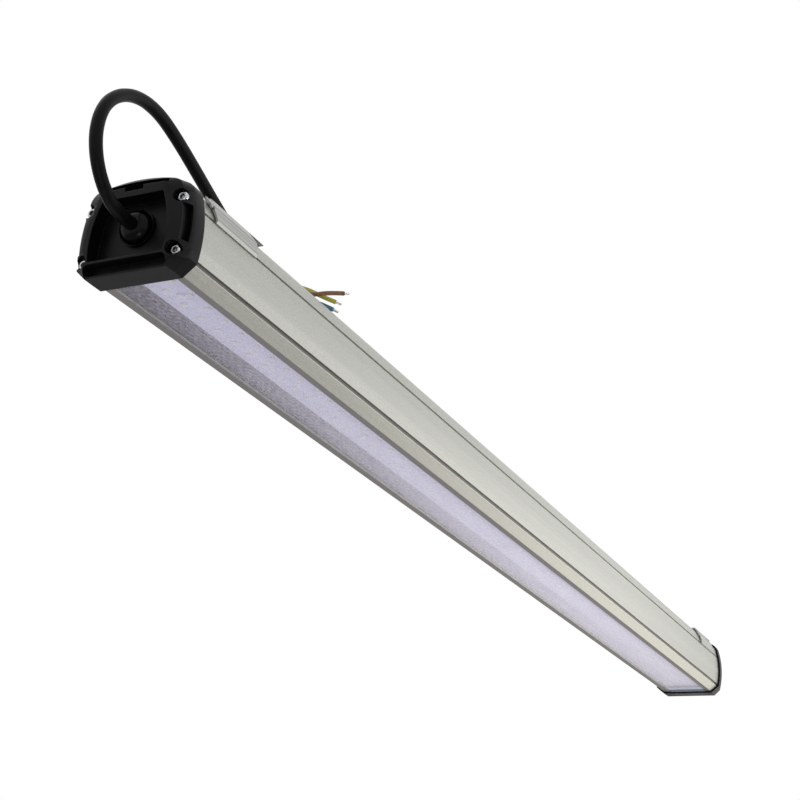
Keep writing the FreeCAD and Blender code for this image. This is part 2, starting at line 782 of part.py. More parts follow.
def make_cap_screws():
    screws = []
    for side, sign in SIDES.items():
        for level in LEVELS:
            screws.append(cap_screw(f"cap_screw_{side}_{level}", sign + "port_half", f"port_{level}_z"))
    near = keep("cable_end_screws", group("cable_end_screws", screws))
    keep("blank_end_screws", mirror("blank_end_screws", near, END_TO_END))


def make_gland():
    """A flanged stem through the cap's web, a lock nut behind it, and a domed nut in front that
    presses a soft seal onto the cord."""
    keep("gland_body", turned("gland_body", [
        (None, "bore_radius"), ("seal_in_a", "bore_radius"), ("seal_in_a", "seal_seat_radius"),
        ("collar_a", "seal_seat_radius"), ("collar_a", "collar_radius"), ("flange_a", "collar_radius"),
        ("flange_a", "flange_radius"), ("floor_a", "flange_radius"), ("floor_a", "stem_radius"),
        (None, "stem_radius"),
    ]))
    keep("gland_seal", turned("gland_seal", [
        ("seal_in_a", "cord_radius"), ("seal_out_a", "cord_radius"),
        ("seal_out_a", "seal_radius"), ("seal_in_a", "seal_radius"),
    ]))
    keep("gland_dome", turned("gland_dome", [
        ("flange_a", "dome_cavity_radius"), ("seal_out_a", "dome_cavity_radius"),
        ("seal_out_a", "bore_radius"), ("dome_a", "bore_radius"), ("dome_a", "dome_mouth_radius"),
        ("dome_rim_a", "dome_radius"), ("flange_a", "dome_radius"),
    ], [None, None, None, None, "dome_arc_radius", None, None]))
    nut = hexagon("lock_nut_blank", "lock_nut_radius", "lock_nut_thick", "-web_x", "0", "gland_z")
    bore = rod("lock_nut_bore", "stem_radius + stem_play", "lock_nut_thick", "-web_x", "0", "gland_z")
    keep("gland_lock_nut", cut("gland_lock_nut", nut, [bore]))


def core_start(along, bearing):
    """Where a core leaves the jacket's end, at a bearing round the jacket's axis."""
    end = Vector(*CORD_ROUTE[-1])
    across = Vector(0, 0, 1).cross(along).normalize()
    over = along.cross(across).normalize()
    angle = math.radians(bearing)
    return end + (across * math.cos(angle) + over * math.sin(angle)) * value("core_spread")


def make_cord():
    """The jacket inside and outside the gland, the bared cores at its free end, and the strands
    that stand out of them."""
    inner = rod("cord_inner", "cord_radius", "inner_jacket_length", "cord_exit_x", "0", "gland_z")
    keep("cord_inner", inner)
    keep("cord", tube("cord", CORD_ROUTE, value("cord_radius")))
    along = (Vector(*CORD_ROUTE[-1]) - Vector(*CORD_ROUTE[-2])).normalize()
    strands = []
    for name, route in CORE_ROUTES.items():
        first = core_start(along, CORE_BEARINGS[name])
        points = [tuple(first), tuple(first + along * CORE_LEAD)] + route
        keep(name, tube(name, points, value("core_radius")))
        tip = Vector(*route[-1])
        ahead = (tip - Vector(*route[-2])).normalize()
        strand = doc.addObject("Part::Feature", name + "_strand")
        strand.Shape = Part.makeCylinder(value("strand_radius"), value("strand_length"), tip, ahead)
        strands.append(strand)
    keep("wire_ends", group("wire_ends", strands))


def lamp_board(node, lamps_node, start_x):
    """One board with two staggered rows of lamps on its underside."""
    plate = block(node + "_plate", "board_length", "board_half * 2", "board_thick",
                  start_x, "-board_half", "board_z")
    deep = {"length": "board_thick", "z": "board_z", "turn": UPRIGHT}
    holes = []
    for board, place in BOARD_SCREWS:
        holes.append(rod(f"{node}_hole_{board}_{place}", "port_radius", x=board_screw_x(board, place),
                         y="0", **deep))
    for side, sign in SIDES.items():
        holes.append(rod(f"{node}_lead_hole_{side}", "lead_hole_radius", x="lead_hole_x",
                         y=sign + "lead_half", **deep))
    keep(node, cut(node, plate, holes))
    body = doc.addObject("PartDesign::Body", lamps_node)
    body.AllowCompound = True
    bind(body, x=f"{start_x} + lamp_margin", z="lamp_z")
    rows = []
    for row, y, x in (("a", "lamp_row_half", "0"), ("b", "-lamp_row_half", "lamp_pitch / 2")):
        lamp = body.newObject("PartDesign::AdditiveBox", f"{lamps_node}_{row}")
        bind(lamp, Length="lamp_length", Width="lamp_width", Height="lamp_height",
             x=x, y=f"{y} - lamp_width / 2")
        rows.append(lamp)
    run = body.newObject("PartDesign::LinearPattern", lamps_node + "_run")
    run.Originals = rows
    run.Direction = (next(axis for axis in body.Origin.OriginFeatures if axis.Role == "X_Axis"), [""])
    bind(run, Length="lamp_run", Occurrences="lamp_count")
    body.Tip = run
    keep(lamps_node, body)


def make_lamp_boards():
    lamp_board("cable_side_board", "cable_side_lamps", "near_board_x")
    lamp_board("blank_side_board", "blank_side_lamps", "far_board_x")
    screws = []
    for board, place in BOARD_SCREWS:
        name = f"board_screw_{board}_{place}"
        spot = {"x": board_screw_x(board, place), "y": "0", "turn": UPRIGHT}
        head = rod(name + "_head", "board_head_radius", "board_head_height",
                   z="board_z - board_head_height", **spot)
        shank = rod(name + "_shank", "screw_radius", "board_thick + platform_thick - fixing_slack",
                    z="board_z", **spot)
        screws.append(join(name, [head, shank]))
    keep("board_screws", group("board_screws", screws))
    keep("board_link", block("board_link", "link_length", "link_half * 2", "link_height",
                             "-link_length / 2", "-link_half", "board_z - link_height"))


def deck_screw(name, x, y, seat):
    """A screw that holds a tab of some thickness down on the deck."""
    head = rod(name + "_head", "screw_head_radius", "screw_head_height", x, y, f"deck_z + {seat}", UPRIGHT)
    shank = rod(name + "_shank", "screw_radius", f"{seat} + platform_thick - fixing_slack", x, y,
                "platform_z + fixing_slack", UPRIGHT)
    return join(name, [head, shank])


def make_terminal():
    """The block where the cord's cores meet the driver's leads, and the earth tag beside it."""
    body = block("terminal_body", "terminal_length", "terminal_half * 2", "terminal_height",
                 "terminal_x", "-terminal_half", "deck_z")
    tab = block("terminal_tab_plate", "terminal_tab", "terminal_half", "tab_thick",
                "terminal_end_x", "-terminal_half / 2", "deck_z")
    holes = [rod("terminal_hole", "port_radius", "tab_thick", "terminal_screw_x", "0", "deck_z", UPRIGHT)]
    for side, sign in SIDES.items():
        pole = {"y": sign + "terminal_pole_half", "z": "entry_z"}
        holes.append(rod(f"terminal_entry_{side}", "core_radius + screw_play", "terminal_length",
                         x="terminal_x", **pole))
        holes.append(rod(f"terminal_well_{side}", "screw_drive_radius",
                         "terminal_height - terminal_entry_rise",
                         x="terminal_x + terminal_length / 2", turn=UPRIGHT, **pole))
    keep("terminal_block", cut("terminal_block", join("terminal_moulding", [body, tab]), holes))
    keep("terminal_screw", deck_screw("terminal_screw", "terminal_screw_x", "0", "tab_thick"))
    flat = {"length": "tag_thick", "x": "earth_x", "y": "earth_half", "z": "deck_z", "turn": UPRIGHT}
    crimp = {"length": "tag_barrel_length", "x": "tag_barrel_x", "y": "earth_half", "z": "tag_barrel_z"}
    neck = block("tag_neck", "tag_radius", "tag_barrel_radius * 2", "tag_thick",
                 "earth_x - tag_radius", "earth_half - tag_barrel_radius", "deck_z")
    blank = [rod("tag_ring", "tag_radius", **flat), neck, rod("tag_barrel", "tag_barrel_radius", **crimp)]
    bores = [rod("tag_hole", "port_radius", **flat), rod("tag_bore", "core_radius + screw_play", **crimp)]
    keep("earth_tag", cut("earth_tag", join("tag_blank", blank), bores))
    keep("earth_screw", deck_screw("earth_screw", "earth_x", "earth_half", "tag_thick"))


def make_driver():
    """The driver's case, with a tab at each end that is screwed to the deck."""
    case = block("driver_box", "driver_length", "driver_half * 2", "driver_height",
                 "driver_x", "-driver_half", "deck_z")
    tabs = block("driver_tabs", "driver_length + driver_tab * 2", "driver_half", "tab_thick",
                 "driver_x - driver_tab", "-driver_half / 2", "deck_z")
    shell = join("driver_shell", [case, tabs])
    holes = []
    screws = []
    for end, x in DRIVER_SCREWS.items():
        holes.append(rod(f"driver_tab_hole_{end}", "port_radius", "tab_thick", x, "0", "deck_z", UPRIGHT))
        screws.append(deck_screw(f"driver_screw_{end}", x, "0", "tab_thick"))
    keep("driver_case", cut("driver_case", shell, holes))
    keep("driver_screws", group("driver_screws", screws))


def eased(start, end, step):
    """A route from one level and side to another that leaves and arrives along X."""
    return [
        start,
        (start[0] + step, start[1], start[2]),
        (end[0] - step, end[1], end[2]),
        end,
    ]


def make_cores():
    """The cord's cores inside, from the jacket's end to the terminal block and the earth tag."""
    spread = value("core_spread")
    step = value("terminal_gap") * BEND_SHARE
    jacket_x = value("jacket_end_x")
    seat_x = value("terminal_x") + value("terminal_length") * BEND_SHARE
    for colour, side in (("brown", 1), ("blue", -1)):
        node = f"inner_core_{colour}"
        start = (jacket_x, side * spread * math.sqrt(3) / 2, value("gland_z") + spread / 2)
        end = (seat_x, side * value("terminal_pole_half"), value("entry_z"))
        keep(node, tube(node, eased(start, end, step), value("core_radius")))
    start = (jacket_x, 0, value("gland_z") - spread)
    tag_x = value("tag_barrel_x") + value("tag_barrel_length") / 2
    end = (tag_x, value("earth_half"), value("tag_barrel_z"))
    keep("earth_core", tube("earth_core", eased(start, end, step), value("core_radius")))


def make_leads():
    """The leads from the terminal block to the driver, and from the driver down to the lamps."""
    lead_z = value("lead_z")
    seat_x = value("terminal_end_x") - value("terminal_length") * BEND_SHARE
    step = value("lead_span") * BEND_SHARE
    drop_x = value("lead_hole_x")
    turn = value("lead_drop") * BEND_SHARE
    for supply, output, side in (("brown", "red", 1), ("blue", "black", -1)):
        lead_y = side * value("lead_half")
        start = (seat_x, side * value("terminal_pole_half"), value("entry_z"))
        end = (value("driver_x"), lead_y, lead_z)
        node = f"supply_lead_{supply}"
        keep(node, tube(node, eased(start, end, step), value("lead_radius")))
        node = f"lamp_lead_{output}"
        keep(node, tube(node, [
            (value("driver_end_x"), lead_y, lead_z),
            (drop_x - turn, lead_y, lead_z),
            (drop_x, lead_y, lead_z - turn),
            (drop_x, lead_y, value("board_z")),
        ], value("lead_radius")))


def make_bracket(node, start_x):
    """A saddle of folded sheet: its legs hook into the side grooves, its plate stands clear of the
    housing's back, and a slot in the plate takes the fixing screw. At the cable end the plate is set
    back between two ears, and each leg rounds off into its ear."""
    fold = section(node + "_fold", [
        ("bracket_plate_half", "inner_plate_rise"), ("inner_leg_half", "bracket_leg_rise"),
        ("inner_hook_half", "hook_high_rise"), ("hook_tip_half", "hook_high_rise"),
        ("hook_tip_half", "hook_low_rise"), ("outer_fold_half", "hook_low_rise"),
        ("outer_hook_half", "outer_fold_rise"), ("outer_leg_half", "outer_leg_rise"),
        ("outer_plate_half", "outer_plate_rise"),
    ], [None] * 8)
    saddle = prism(node + "_saddle", fold, "bracket_length", start_x)
    below = {"width": "outer_hook_half * 2", "y": "-outer_hook_half", "z": "cap_proud + hook_low_rise"}
    across = {"length": "outer_hook_half * 2", "y": "-outer_hook_half", "turn": ALONG_Y}
    tail_x = f"{start_x} + bracket_length - bracket_overhang"
    tools = [
        block(node + "_nose", "bracket_nose", height="nose_rise - hook_low_rise", x=start_x, **below),
        rod(node + "_nose_arc", "bracket_nose", x=start_x, z="cap_proud + nose_rise", **across),
        rod(node + "_relief_front", "bracket_relief", x=start_x, z="cap_proud + ear_rise", **across),
        rod(node + "_relief_fold", "bracket_relief", x=f"{start_x} + bracket_nose / 2",
            z="cap_proud + ear_rise", **across),
        block(node + "_setback", "bracket_setback", "ear_half * 2", "outer_plate_rise - bracket_leg_rise",
              start_x, "-ear_half", "cap_proud + bracket_leg_rise"),
        block(node + "_tail", "bracket_overhang", height="inner_plate_rise - hook_low_rise",
              x=tail_x, **below),
    ]
    middle = f"{start_x} + bracket_length / 2"
    reach = "slot_length / 2 - slot_half_width"
    deep = {"y": "0", "z": "cap_proud + inner_plate_rise", "turn": UPRIGHT, "length": "bracket_thick"}
    tools.append(rod(node + "_slot_near", "slot_half_width", x=f"{middle} - ({reach})", **deep))
    tools.append(rod(node + "_slot_far", "slot_half_width", x=f"{middle} + {reach}", **deep))
    tools.append(block(node + "_slot_middle", f"({reach}) * 2", "slot_half_width * 2", "bracket_thick",
                       f"{middle} - ({reach})", "-slot_half_width", "cap_proud + inner_plate_rise"))
    keep(node, cut(node, saddle, tools))


def check_pieces():
    """Stops on any object that failed, and on any sub-part that is empty or not valid."""
    for item in doc.Objects:
        if "Invalid" in item.State or "Error" in item.State:
            raise RuntimeError(f"{item.Name} failed: {item.getStatusString()}")
    for item in pieces:
        if item.Shape.isNull() or not item.Shape.isValid() or not item.Shape.Solids:
            raise RuntimeError(f"{item.Label} has no valid solid")


def write_pieces():
    os.makedirs("parts", exist_ok=True)
    for item in pieces:
        item.Shape.exportStep(f"parts/{item.Label}.step")
        print(f"{item.Label}: {len(item.Shape.Solids)} solids, {item.Shape.Volume:.1f} cubic mm")


sizes, places = fill_sheets()
middle_outline = housing_outline("middle_outline")
make_housing(middle_outline)
make_caps(middle_outline)
make_gaskets(middle_outline)
make_cap_screws()
make_gland()
make_lamp_boards()
make_terminal()
make_driver()
make_bracket("cable_end_bracket", "near_bracket_x")
make_bracket("blank_end_bracket", "far_bracket_x")
make_cord()
make_cores()
make_leads()
doc.recompute()
check_pieces()
write_pieces()
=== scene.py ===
# %% [markdown]
# # A linear light, dressed for its portrait
#
# The light is a long aluminium extrusion with a black moulded cap on each end, a clear cover over its lamps,
# a short cord and two clips on its back. This lesson lays the cord as a smooth curve, models the small parts
# that the camera comes close to, gives every piece a finish made of nodes, and sets up the camera and the
# lights.

from math import cos, pi, radians, sin, tau

import bpy
from mathutils import Matrix, Vector


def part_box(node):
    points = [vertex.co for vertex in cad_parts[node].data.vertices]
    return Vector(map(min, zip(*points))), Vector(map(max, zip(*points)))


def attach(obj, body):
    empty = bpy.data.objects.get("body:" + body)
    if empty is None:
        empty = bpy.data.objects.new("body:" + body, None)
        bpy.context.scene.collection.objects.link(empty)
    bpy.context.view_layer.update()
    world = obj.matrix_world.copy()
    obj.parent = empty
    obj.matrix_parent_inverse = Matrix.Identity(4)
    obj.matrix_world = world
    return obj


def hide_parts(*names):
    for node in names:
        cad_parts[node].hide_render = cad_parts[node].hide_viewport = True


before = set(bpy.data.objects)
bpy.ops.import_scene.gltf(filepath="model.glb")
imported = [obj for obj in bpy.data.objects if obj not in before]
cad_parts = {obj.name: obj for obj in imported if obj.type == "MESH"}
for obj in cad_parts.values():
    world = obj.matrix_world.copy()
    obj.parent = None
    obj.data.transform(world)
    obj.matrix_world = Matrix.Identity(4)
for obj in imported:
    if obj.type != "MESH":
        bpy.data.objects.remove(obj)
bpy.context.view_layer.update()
bpy.ops.object.select_all(action="DESELECT")

# %% [markdown]
# ## The camera
#
# The photograph looks up at the light from its cable end, so the underside, one long side and the near cap
# all show. A camera can be placed by eye, but here its place was worked out from the light's straight edges.
# Three directions fix how it is turned: the way it looks, its right and its up.

# %% Place the camera
CAMERA_SPOT = Vector((-1.0286, -0.4286, -0.3227))
CAMERA_RIGHT = Vector((0.43180, -0.89915, 0.07118))
CAMERA_UP = Vector((-0.36455, -0.10179, 0.92560))
CAMERA_AHEAD = Vector((0.82502, 0.42563, 0.37174))
FOCAL_MM = 69.03
SENSOR_MM = 36.0
NEAREST, FURTHEST = 0.05, 60.0

lens = bpy.data.cameras.new("portrait_lens")
lens.lens = FOCAL_MM
lens.sensor_width = SENSOR_MM
lens.clip_start = NEAREST
lens.clip_end = FURTHEST
camera = bpy.data.objects.new("portrait_camera", lens)
bpy.context.scene.collection.objects.link(camera)
turn = Matrix((CAMERA_RIGHT, CAMERA_UP, -CAMERA_AHEAD)).transposed()
camera.matrix_world = Matrix.Translation(CAMERA_SPOT) @ turn.to_4x4()
bpy.context.scene.camera = camera
print("camera looks up by", round(CAMERA_AHEAD.z, 3), "of its own distance")

# %% [markdown]
# ## The cord's jacket
#
# The mains cord leaves the gland, rises in a loop over the cap and comes to rest on the light's back. A tube
# of straight runs and arcs would look like bent wire, so the route's points steer a NURBS spline instead,
# which eases from one point to the next. The round bevel gives it the jacket's thickness. Each point carries
# half the thickness as its own radius, so that the curve's box is about as large as the cord.

# %% Lay the jacket
JACKET_ROUTE = [
    (-0.4987, 0.0, 0.0265), (-0.511, 0.0, 0.0265), (-0.523, 0.0, 0.0334), (-0.5315, 0.0, 0.045),
    (-0.535, 0.0, 0.059), (-0.532, 0.0, 0.074), (-0.522, 0.0, 0.086), (-0.507, 0.0, 0.0938),
    (-0.4895, 0.0, 0.095), (-0.4715, 0.0, 0.0896), (-0.453, 0.0, 0.0822), (-0.435, 0.0, 0.0746),
    (-0.417, 0.0, 0.0674), (-0.4005, -0.0005, 0.06), (-0.386, -0.002, 0.0529), (-0.372, -0.006, 0.053),
]
JACKET_THICKNESS = 0.0068
SPLINE_ORDER = 3
STEPS_ALONG = 10
STEPS_ROUND = 6


def lay_cord(name, route, thickness):
    shape = bpy.data.curves.new(name, "CURVE")
    shape.dimensions = "3D"
    line = shape.splines.new("NURBS")
    line.points.add(len(route) - 1)
    for point, place in zip(line.points, route):
        point.co = (*place, 1.0)
        point.radius = thickness / 2
    line.order_u = SPLINE_ORDER
    line.use_endpoint_u = True
    line.resolution_u = STEPS_ALONG
    shape.bevel_depth = 1.0
    shape.bevel_resolution = STEPS_ROUND
    shape.use_fill_caps = True
    cord = bpy.data.objects.new(name, shape)
    bpy.context.scene.collection.objects.link(cord)
    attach(cord, "root")
    return cord


jacket = lay_cord("cord_jacket", JACKET_ROUTE, JACKET_THICKNESS)
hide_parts("cord")
print("laid the jacket through", len(JACKET_ROUTE), "points")

# %% [markdown]
# ## The bared cores
#
# Past the end of the jacket its three cores fan out over the edge of the light: brown, yellow with green, and
# blue. They are the same kind of curve, thinner. On each end a few millimetres of tinned strands are bared.

# %% Lay the three cores
CORE_ROUTES = {
    "wire_brown": [
        (-0.37236, -0.00729, 0.05223), (-0.36756, -0.00867, 0.05226), (-0.3595, -0.0126, 0.0526),
        (-0.3522, -0.0190, 0.0532), (-0.3463, -0.0252, 0.0566), (-0.3384, -0.0312, 0.0589),
    ],
    "wire_green_yellow": [
        (-0.37201, -0.00600, 0.05455), (-0.36720, -0.00737, 0.05458), (-0.3595, -0.0096, 0.0570),
        (-0.3500, -0.0138, 0.0585), (-0.3428, -0.0194, 0.0566), (-0.3376, -0.0260, 0.0544),
    ],
    "wire_blue": [
        (-0.37163, -0.00471, 0.05223), (-0.36682, -0.00608, 0.05226), (-0.3575, -0.0086, 0.0526),
        (-0.3460, -0.0128, 0.0540), (-0.3396, -0.0186, 0.0530), (-0.3374, -0.0246, 0.0499),
    ],
}
CORE_THICKNESS = 0.0026

cores = {}
for core_name, route in CORE_ROUTES.items():
    cores[core_name] = lay_cord("bared_" + core_name, route, CORE_THICKNESS)
    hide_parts(core_name)
print("laid", len(cores), "cores")

# %% [markdown]
# ## The strands
#
# A stripped core shows a bundle of fine wires with a slight twist. One bundle is drawn the way it is made:
# seven small discs, one in the middle and six round it, are pushed out a step at a time and turned a little
# at each step. A copy of it goes on the end of each core, along the core's last run.

# %% Twist one bundle
STRAND_LENGTH = 0.0034
STRAND_RADIUS = 0.00024
STRAND_SIDES = 6
OUTER_STRANDS = 6
TWIST_STEPS = 8
TWIST_TURN = radians(14)
BUNDLE_SMOOTH_ANGLE = radians(70)


def add_disc(spot):
    bpy.ops.mesh.primitive_circle_add(vertices=STRAND_SIDES, radius=STRAND_RADIUS, fill_type="NGON",
                                      location=spot)


bpy.ops.object.select_all(action="DESELECT")
add_disc((0.0, 0.0, 0.0))
bundle = bpy.context.active_object
bpy.ops.object.mode_set(mode="EDIT")
for place in range(OUTER_STRANDS):
    angle = place * tau / OUTER_STRANDS
    add_disc((2 * STRAND_RADIUS * cos(angle), 2 * STRAND_RADIUS * sin(angle), 0.0))
bpy.ops.mesh.select_all(action="SELECT")
for step in range(TWIST_STEPS):
    rise = (0.0, 0.0, STRAND_LENGTH / TWIST_STEPS)
    bpy.ops.mesh.extrude_region_move(TRANSFORM_OT_translate={"value": rise})
    bpy.ops.transform.rotate(value=TWIST_TURN, orient_axis="Z", center_override=(0.0, 0.0, 0.0))
bpy.ops.mesh.select_all(action="SELECT")
bpy.ops.mesh.normals_make_consistent(inside=False)
bpy.ops.object.mode_set(mode="OBJECT")
bpy.ops.object.shade_smooth_by_angle(angle=BUNDLE_SMOOTH_ANGLE)
print("one bundle has", len(bundle.data.polygons), "faces")

# %% Put a bundle on each core
strands = []
for core_name, route in CORE_ROUTES.items():
    end = Vector(route[-1])
    ahead = end - Vector(route[-2])
    tip = bpy.data.objects.new("strands_of_" + core_name, bundle.data.copy())
    tip.data.transform(Matrix.Translation(end) @ ahead.to_track_quat("Z", "Y").to_matrix().to_4x4())
    bpy.context.scene.collection.objects.link(tip)
    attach(tip, "root")
    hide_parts("wire_ends")
    strands.append(tip)
bpy.data.objects.remove(bundle)
print("bared", len(strands), "ends")

# %% [markdown]
# ## The lamps
#
# Two rows of small lamps sit on the white boards behind the cover. Each is a white block with a yellow window
# sunk in its lower face. There are more than a hundred, so one lamp is shaped with a few faces, and copies of
# it are set out at the places that the CAD lamps have. The helper picks faces in code, because nothing can be
# clicked here.

# %% Shape one lamp
LAMP_SIZE = (0.003, 0.0028, 0.0007)
LAMP_BEVEL = 0.00012
WINDOW_FRAME = 0.0003
WINDOW_DEPTH = 0.00015
FACING_DOWN = -0.95


def pick_faces(piece, wanted):
    bpy.ops.object.mode_set(mode="EDIT")
    bpy.ops.mesh.select_mode(type="FACE")
    bpy.ops.mesh.select_all(action="DESELECT")
    bpy.ops.object.mode_set(mode="OBJECT")
    for face in piece.data.polygons:
        face.select = wanted(face)
    bpy.ops.object.mode_set(mode="EDIT")


bpy.ops.object.select_all(action="DESELECT")
bpy.ops.mesh.primitive_cube_add(size=1.0, location=(0.0, 0.0, 0.0))
lamp = bpy.context.active_object
lamp.scale = LAMP_SIZE
bpy.ops.object.transform_apply(location=False, rotation=False, scale=True)
bpy.ops.object.mode_set(mode="EDIT")
bpy.ops.mesh.select_all(action="SELECT")
bpy.ops.mesh.bevel(offset=LAMP_BEVEL, segments=1, affect="EDGES")
pick_faces(lamp, lambda face: face.normal.z < FACING_DOWN)
bpy.ops.mesh.inset(thickness=WINDOW_FRAME, depth=-WINDOW_DEPTH)
bpy.ops.object.mode_set(mode="OBJECT")
window = [face.index for face in lamp.data.polygons if face.select]
lamp_faces = len(lamp.data.polygons)
print("one lamp has", lamp_faces, "faces, and its window is face", window)

# %% Set the lamps out along both boards
LAMP_PITCH = 0.01667


def set_out(master, places, name):
    bpy.ops.object.select_all(action="DESELECT")
    for place in places:
        twin = bpy.data.objects.new(name, master.data.copy())
        twin.data.transform(Matrix.Translation(place))
        bpy.context.scene.collection.objects.link(twin)
        twin.select_set(True)
    bpy.context.view_layer.objects.active = twin
    bpy.ops.object.join()
    whole = bpy.context.active_object
    whole.name = name
    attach(whole, "root")
    return whole


def lamp_places(node):
    low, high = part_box(node)
    middle = (low + high) / 2
    half_row = (high.y - low.y - LAMP_SIZE[1]) / 2
    first = low.x + LAMP_SIZE[0] / 2
    count = round((high.x - low.x - LAMP_SIZE[0] - LAMP_PITCH / 2) / LAMP_PITCH) + 1
    far_row = [Vector((first + place * LAMP_PITCH, half_row, middle.z)) for place in range(count)]
    near_row = [spot + Vector((LAMP_PITCH / 2, -2 * half_row, 0.0)) for spot in far_row]
    return far_row + near_row


lamp_rows = {}
for node in ("cable_side_lamps", "blank_side_lamps"):
    places = lamp_places(node)
    lamp_rows[node] = set_out(lamp, places, node.replace("lamps", "lamp_rows"))
    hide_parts(node)
    print(node, "has", len(places), "lamps")
bpy.data.objects.remove(lamp)

# %% [markdown]
# ## The cap screws
#
# Four plated screws hold each cap, sunk in round pockets. The camera comes close to two of them, so the
# bright edge of the head and the dark drive in its middle matter. The screw is grown from its tip as a lathe
# would show it, ring by ring: each ring is pushed out of the last and scaled to its own radius. The rings of
# the drive are then pulled to six flats.

# %% Grow one screw
SHANK_LENGTH = 0.018
SCREW_RINGS = [
    (0.0006, 0.0015), (SHANK_LENGTH, 0.0015), (SHANK_LENGTH, 0.00262), (0.0182, 0.00275), (0.0193, 0.00275),
    (0.0198, 0.00258), (0.0201, 0.00222), (0.0201, 0.00155), (0.0200, 0.00145), (0.0190, 0.00142),
    (0.0190, 0.00080),
]
TIP_RADIUS = 0.0010
SCREW_SIDES = 24

bpy.ops.object.select_all(action="DESELECT")
bpy.ops.mesh.primitive_circle_add(vertices=SCREW_SIDES, radius=TIP_RADIUS, fill_type="NGON",
                                  location=(0.0, 0.0, 0.0))
screw = bpy.context.active_object
bpy.ops.object.mode_set(mode="EDIT")
bpy.ops.mesh.select_all(action="SELECT")
height, radius = 0.0, TIP_RADIUS
for next_height, next_radius in SCREW_RINGS:
    bpy.ops.mesh.extrude_region_move(TRANSFORM_OT_translate={"value": (0.0, 0.0, next_height - height)})
    size = next_radius / radius
    bpy.ops.transform.resize(value=(size, size, 1.0), center_override=(0.0, 0.0, next_height))
    height, radius = next_height, next_radius
bpy.ops.mesh.poke()
bpy.ops.mesh.select_all(action="SELECT")
bpy.ops.mesh.normals_make_consistent(inside=False)
bpy.ops.object.mode_set(mode="OBJECT")
screw_faces = len(screw.data.polygons)
print("one screw has", screw_faces, "faces")

# %% Pull the drive to six flats and set the screws in both caps
DRIVE_RADIUS = 0.0015
DRIVE_MIDDLE = 0.0007
DRIVE_BOTTOM = 0.0188
HALF_FLAT = pi / 6
SCREW_SMOOTH_ANGLE = radians(32)
SCREW_HALF = 0.027
SCREW_HEIGHTS = (0.009, 0.038)
SEAT_X = 0.4943


def six_flats(angle):
    return cos(HALF_FLAT) / cos((angle + HALF_FLAT) % (2 * HALF_FLAT) - HALF_FLAT)


for corner in screw.data.vertices:
    reach = corner.co.xy.length
    if corner.co.z > DRIVE_BOTTOM and DRIVE_MIDDLE < reach < DRIVE_RADIUS:
        corner.co.xy *= six_flats(corner.co.xy.angle_signed(Vector((1.0, 0.0))))
    elif corner.co.z > DRIVE_BOTTOM and reach < DRIVE_MIDDLE:
        corner.co.z = DRIVE_BOTTOM
bpy.ops.object.shade_smooth_by_angle(angle=SCREW_SMOOTH_ANGLE)
drive_walls = [
    face.index for face in screw.data.polygons
    if face.center.z > DRIVE_BOTTOM and DRIVE_MIDDLE < face.center.xy.length < DRIVE_RADIUS
]
print("the drive's walls are", len(drive_walls), "of", screw_faces, "faces")

cap_screws = {}
for node, side in (("cable_end_screws", -1.0), ("blank_end_screws", 1.0)):
    toward_face = Vector((side, 0.0, 0.0)).to_track_quat("Z", "Y").to_matrix().to_4x4()
    aimed = screw.copy()
    aimed.data = screw.data.copy()
    aimed.data.transform(toward_face)
    tip_x = side * (SEAT_X - SHANK_LENGTH)
    places = [Vector((tip_x, y, z)) for y in (-SCREW_HALF, SCREW_HALF) for z in SCREW_HEIGHTS]
    cap_screws[node] = set_out(aimed, places, node.replace("screws", "screw_heads"))
    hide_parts(node)
    bpy.data.objects.remove(aimed)
bpy.data.objects.remove(screw)

# %% [markdown]
# ## Smooth skins
#
# The extrusion's bulging sides, the moulded caps, the domed nut, the gland's stem and the folded clips are
# right in the CAD model, but its meshes are loose flat triangles, so their curves would show as facets. Each
# gets a copy whose doubled corners are merged, and the copy is shaded smooth wherever two faces meet at a
# small angle. Such meshes hold long thin triangles, which would tilt the shading, so the normals are weighted
# by the size of the faces. A moulding has no knife edges, so the caps' edges are also rounded, by 0.3 mm.

# %% Copy the curved pieces and smooth them
SKINS = {
    "housing": "extrusion", "cable_end_cap": "near_cap", "blank_end_cap": "far_cap",
    "gland_dome": "domed_nut", "cable_end_bracket": "near_clip", "blank_end_bracket": "far_clip",
    "gland_body": "gland_stem",
}
EDGE_ROUNDING = {"cable_end_cap": 0.0003, "blank_end_cap": 0.0003}
ROUNDING_STEPS = 2
ROUNDED_ANGLE = radians(35)
SAME_CORNER = 0.000002
FLAT_ANGLE = radians(0.5)
SMOOTH_ANGLE = radians(24)
LARGE_FACES_LEAD = 100


